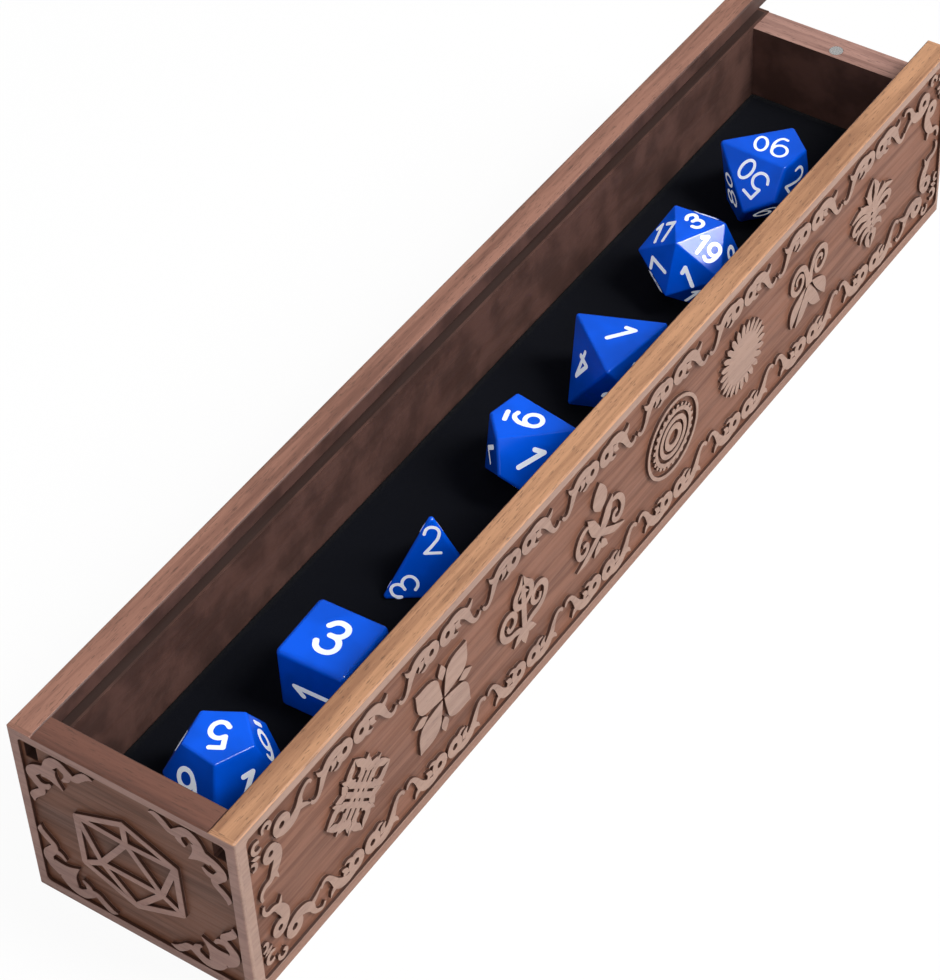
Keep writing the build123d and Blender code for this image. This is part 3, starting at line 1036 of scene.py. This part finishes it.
# Each die: its numerals from the top face down, their height and line in millimetres, how its
# numerals stand, and, by the face's place in the list, the turns in degrees and the slides:
# how far, in millimetres, a numeral is set up its sloping face.
# "corner": the top of a numeral points at a corner; "side": between two corners;
# "pole": at the far corner of the kite; "across": the line of text runs to that corner;
# "points": every corner of a face has its own numeral.
DICE = {
    "die_d12": dict(
        texts="5 3 9_ 1 6_ 11 7 2 10 4 12 8", size=6.2, line=1.05, stand="corner",
        turns={0: -144.9, 2: 35.1, 3: -32.5, 4: 105.8}, slides={2: -1.8, 3: -0.9, 4: 0.6}),
    "die_d6": dict(
        texts="3 2 1 5 6_ 4", size=8.0, line=1.3, stand="side", turns={2: 90}, slides={2: -1.1}),
    "die_d4": dict(
        texts="4 1 3 2", size=5.8, line=0.65, stand="points", turns={}, slides={}),
    "die_d10": dict(
        texts="9_ 1 5 7 3 6_ 2 4 8 0", size=6.1, line=1.05, stand="pole", turns={}, slides={}),
    "die_d8": dict(
        texts="1 4 6_ 7 2 5 3 8", size=6.3, line=1.05, stand="corner",
        turns={0: -36.7, 1: -169.9}, slides={0: 1.2, 1: -0.9, 4: -1.2}),
    "die_d20": dict(
        texts="3 17 19 16 7 1 9_ 6_ 8 10 12 15 13 11 14 20 5 4 2 18", size=4.5, line=0.9,
        stand="corner", turns={0: 53.5, 1: 51.1, 2: -61.0, 4: 94.8, 5: 20.8},
        slides={0: 1.0, 4: -1.0, 5: -1.0, 6: -1.0, 11: -1.0, 12: -1.0}),
    "die_percentile": dict(
        texts="90 50 30 20 10 80 70 60 40 00", size=5.4, line=0.68, stand="across", turns={},
        slides={}),
}
# From the middle of a face to a numeral at its corner, and from one layer of paint to the next.
POINT_NUMERAL_REACH = 6.95
PAINT_STEP = 0.0012

# ---- how the faces of a die are told apart: cosines of angles, and a share of their reach ----
SAME_FACE = 0.9999
LEVEL_FACE = 0.95
OPPOSITE_FACE = 0.9
CORNER_SHARE = 0.97


def flat_faces(node, count):
    """The flat faces of a die, which are its largest, from the top down and round.

    Each is (direction, middle, corners), in millimetres, with corners seen from the middle.
    """
    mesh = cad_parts[node].data
    groups = []
    for face in mesh.polygons:
        group = next((g for g in groups if g[0].dot(face.normal) > SAME_FACE), None)
        if group is None:
            group = [face.normal.copy(), 0.0, Vector(), set()]
            groups.append(group)
        group[1] += face.area
        group[2] += face.center * face.area
        group[3].update(face.vertices)
    largest = sorted(groups, key=lambda g: -g[1])[:count]
    found = []
    for direction, area, total, indices in largest:
        middle = total / area / MM
        spokes = [mesh.vertices[i].co / MM - middle for i in indices]
        reach = max(spoke.length for spoke in spokes)
        corners = [spoke for spoke in spokes if spoke.length > CORNER_SHARE * reach]
        found.append((direction, middle, corners))
    found.sort(key=lambda f: (-round(f[0].z, 2), round(math.atan2(f[0].y, f[0].x), 2)))
    return found


def upslope(direction):
    """The direction on a face that leads up, or along the chest where the face is level."""
    reference = Vector((0, 0, 1)) if abs(direction.z) < LEVEL_FACE else Vector((0, 1, 0))
    return (reference - direction * reference.dot(direction)).normalized()


def numeral_up(direction, corners, stand, turn):
    """The way up of a numeral: of the ways that the corners allow, the nearest to the turn."""
    wanted = Matrix.Rotation(math.radians(turn), 3, direction) @ upslope(direction)
    offset = {"side": 45, "across": 90}.get(stand, 0)
    turned = Matrix.Rotation(math.radians(offset), 3, direction)
    return max((turned @ c.normalized() for c in corners), key=lambda c: c.dot(wanted))


def lettering(text, size, line, scales=(1, 1)):
    """Flat shapes of a numeral, in the middle of the plane; a trailing _ underlines it."""
    marked = text.endswith("_")
    digits = text.rstrip("_")
    widths = [NARROW_DIGITS.get(d, DIGIT_WIDTH) * scale for d, scale in zip(digits, scales)]
    left = -(sum(widths) + DIGIT_GAP * (len(digits) - 1)) / 2
    base = MARKED_BASELINE if marked else BASELINE
    shapes = []
    for digit, width, scale in zip(digits, widths, scales):
        shapes += digit_shapes(digit, left + width / 2, base, size, line, scale)
        left += width + DIGIT_GAP
    if marked:
        shapes += digit_shapes("_", 0, base - MARK_DROP, size, line, MARK_SCALE)
    return shapes


def digit_shapes(digit, x, y, size, line, scale=1.0):
    """One digit on its baseline; straight lines are single bars with round ends."""
    half = line / 2
    shapes = []
    for kind, points in DIGITS[digit]:
        placed = [((x + u * scale) * size, (y + v * scale) * size) for u, v in points]
        if kind == "sharp":
            shapes += [bar(start, end, half) for start, end in zip(placed, placed[1:])]
            ends = placed
        else:
            shapes.append(stroke(*((u, v, half) for u, v in placed), loop=kind == "loop"))
            ends = [] if kind == "loop" else [placed[0], placed[-1]]
        shapes += [disc(u, v, half) for u, v in ends]
    return shapes


class CHEST_OT_dice(bpy.types.Operator):
    """Colours the dice and paints their numerals"""
    bl_idname = "dice_chest.dice"
    bl_label = "Dice"

    def execute(self, context):
        settings = context.scene.chest_dice
        body = self.acrylic(settings.body)
        paint = self.paint(settings.numeral)
        for node, die in DICE.items():
            dress(node, body)
            self.number(node, die, paint, settings.paint / MM)
        return {"FINISHED"}

    def acrylic(self, tone):
        """The glossy, faintly clouded blue of the dice."""
        s = Shader("dice_blue")
        clouds = s.noise(s.position(), 0.09, detail=2)
        marks = s.noise(s.position((1, 1, 7)), 1.6, detail=6, roughness=0.7)
        s.set(Base_Color=s.blend(s.ramp(clouds, 0.35, 0.65), dimmed(tone, 0.8), tone))
        s.set(Roughness=s.ramp(marks, 0.35, 0.75, 0.12, 0.22), Normal=s.bump(marks, 0.004, 0.4))
        s.set(Specular_IOR_Level=0.22)
        return s.material

    def paint(self, tone):
        """The white paint of the numerals, with a painted glow that keeps it bright on faces in
        shade.
        """
        s = Shader("numeral_white")
        chalk = s.noise(s.position(), 2.2, detail=4)
        s.set(Base_Color=s.blend(chalk, dimmed(tone, 0.9), tone), Roughness=0.42)
        s.set(Normal=s.bump(chalk, 0.01, 0.4))
        # Painted light: the paint glows in its own colour, so numerals in shade stay bright.
        s.set(Emission_Color=(*tone, 1), Emission_Strength=0.28)
        return s.material

    def number(self, node, die, paint, proud):
        """Every numeral of a die, as one piece that rides on the die."""
        texts = die["texts"].split()
        faces = flat_faces(node, len(texts))
        scales = (TENS_SCALE, UNITS_SCALE) if die["stand"] == "across" else (1, 1)
        joined = bmesh.new()
        for i, (direction, middle, corners) in enumerate(faces):
            if die["stand"] == "points":
                numerals = self.corner_numerals(direction, corners, faces, texts)
            else:
                up = numeral_up(direction, corners, die["stand"], die["turns"].get(i, 0))
                numerals = [(texts[i], up, upslope(direction) * die["slides"].get(i, 0))]
            for text, up, offset in numerals:
                plane = plane_at(middle + offset, up.cross(direction), up)
                shapes = lettering(text, die["size"], die["line"], scales)
                for layer, shape in enumerate(shapes):
                    slab = slab_of(shape, proud - PAINT_STEP * layer, proud)
                    add_slab(joined, slab, Matrix.Scale(MM, 4) @ plane)
        name = f"{node}_numerals"
        place_piece(name, mesh_of(name, joined), paint, None, f"{node}_body")

    def corner_numerals(self, direction, corners, faces, texts):
        """A numeral at each corner of a face; a corner has the number of the face opposite."""
        numerals = []
        for text, (other, _, _) in zip(texts, faces):
            if other.dot(direction) > OPPOSITE_FACE:
                continue
            corner = max(corners, key=lambda c: -c.dot(other)).normalized()
            numerals.append((text, corner, corner * POINT_NUMERAL_REACH))
        return numerals


# ---- places and sizes of the lights, and the floor's half width, in metres ----
KEY_PLACE = (1.0, 0.32, 0.92)
KEY_SIZE = 0.5
TOP_PLACE = (0.76, 0.18, 1.16)
TOP_SIZE = 0.3
GLINT_SIZE = 0.4
FILL_PLACE = (0.5, -1.1, 1.0)
FILL_SIZE = 1.1
FLOOR_REACH = 3.0
# How much of the floor's white is its own, where it is seen or mirrored.
FLOOR_GLOW = 0.94

# ---- the photograph's viewing angle ----
CAMERA_PLACE = (273.96, -392.33, 494.09)  # millimetres
CAMERA_TURN = (44.5002, 2.3318, 34.1087)  # degrees
FOCAL_PIXELS = 3170.34
PICTURE_HEIGHT = 980  # pixels
SENSOR = 36.0  # millimetres


class CHEST_OT_stage(bpy.types.Operator):
    """Sets up the floor, the light and the camera"""
    bl_idname = "dice_chest.stage"
    bl_label = "Stage"

    def execute(self, context):
        stage = context.scene.chest_stage
        self.floor(stage)
        self.world(context.scene, stage)
        self.lamp("key_light", stage.key, KEY_SIZE, KEY_PLACE)
        self.lamp("top_light", stage.top, TOP_SIZE, TOP_PLACE)
        self.lamp("glint_light", stage.glint, GLINT_SIZE, TOP_PLACE, gloss_only=True)
        self.lamp("fill_light", stage.fill, FILL_SIZE, FILL_PLACE)
        self.camera(context.scene)
        context.scene.view_settings.view_transform = "Standard"
        return {"FINISHED"}

    def floor(self, stage):
        """A white floor that keeps the chest's shadow."""
        s = Shader("floor")
        rays = s.add("LightPath").outputs
        seen = s.math("MAXIMUM", rays["Is Camera Ray"], rays["Is Glossy Ray"])
        seen = s.math("MAXIMUM", seen, rays["Is Transmission Ray"])
        s.set(Base_Color=(*stage.floor, 1), Roughness=0.9)
        glow = s.add("Emission", {"Color": (*stage.floor, 1), "Strength": 1.0}).outputs[0]
        share = s.math("MULTIPLY", seen, FLOOR_GLOW)
        mixed = s.add("MixShader", {0: share, 1: s.surface.outputs[0], 2: glow}).outputs[0]
        s.give(s.tree.nodes["Material Output"].inputs["Surface"], mixed)
        ground = bmesh.new()
        bmesh.ops.create_grid(ground, x_segments=1, y_segments=1, size=FLOOR_REACH)
        mesh = mesh_of("floor", ground)
        mesh.materials.append(s.material)
        floor = bpy.data.objects.new("floor", mesh)
        bpy.context.scene.collection.objects.link(floor)
        floor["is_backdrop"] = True

    def world(self, scene, stage):
        """Light from all round, with a white background for the camera."""
        world = bpy.data.worlds.new("studio")
        world.use_nodes = True
        tree = world.node_tree
        back = tree.nodes["Background"]
        back.inputs["Color"].default_value = (1, 1, 1, 1)
        rays = tree.nodes.new("ShaderNodeLightPath")
        pick = tree.nodes.new("ShaderNodeMix")
        tree.links.new(rays.outputs["Is Camera Ray"], pick.inputs[0])
        pick.inputs[2].default_value = stage.world
        pick.inputs[3].default_value = 1.0
        tree.links.new(pick.outputs[0], back.inputs["Strength"])
        scene.world = world

    def lamp(self, name, power, size, place, gloss_only=False):
        """A square light that faces the chest; gloss_only keeps it off everything but gloss."""
        light = bpy.data.lights.new(name, "AREA")
        light.energy = power
        light.shape = "SQUARE"
        light.size = size
        holder = bpy.data.objects.new(name, light)
        bpy.context.scene.collection.objects.link(holder)
        holder.visible_diffuse = not gloss_only
        holder.location = place
        holder.rotation_euler = (-Vector(place)).to_track_quat("-Z", "Y").to_euler()

    def camera(self, scene):
        """The camera that was fitted to the chest's edges in the photograph."""
        data = bpy.data.cameras.new("camera")
        data.sensor_width = SENSOR
        data.lens = FOCAL_PIXELS / PICTURE_HEIGHT * SENSOR
        camera = bpy.data.objects.new("camera", data)
        scene.collection.objects.link(camera)
        camera.location = Vector(CAMERA_PLACE) * MM
        camera.rotation_euler = [math.radians(turn) for turn in CAMERA_TURN]
        scene.camera = camera


class CHEST_PT_panel(bpy.types.Panel):
    """Lists the steps that finish the chest"""
    bl_idname = "CHEST_PT_panel"
    bl_label = "Dice Chest"
    bl_space_type = "VIEW_3D"
    bl_region_type = "UI"
    bl_category = "Dice Chest"

    def draw(self, context):
        for operator in OPERATORS:
            self.layout.operator(operator.bl_idname)
        for name, group in SETTINGS.items():
            box = self.layout.box()
            for key in group.__annotations__:
                box.prop(getattr(context.scene, name), key)


OPERATORS = [
    CHEST_OT_stage, CHEST_OT_wood, CHEST_OT_long_faces, CHEST_OT_end_faces, CHEST_OT_lining,
    CHEST_OT_magnets, CHEST_OT_dice,
]
CLASSES = [*SETTINGS.values(), *OPERATORS, CHEST_PT_panel]


def register():
    for cls in CLASSES:
        bpy.utils.register_class(cls)
    for name, group in SETTINGS.items():
        setattr(bpy.types.Scene, name, bpy.props.PointerProperty(type=group))


def unregister():
    for name in SETTINGS:
        delattr(bpy.types.Scene, name)
    for cls in reversed(CLASSES):
        bpy.utils.unregister_class(cls)


def main():
    register()
    for operator in OPERATORS:
        group, name = operator.bl_idname.split(".")
        getattr(getattr(bpy.ops, group), name)()
    boxes = {"cad": CAD_BOUNDS, "visual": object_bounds()}
    {key: [list(corner) for corner in box] for key, box in boxes.items()}


if __name__ == "__main__":
    main()
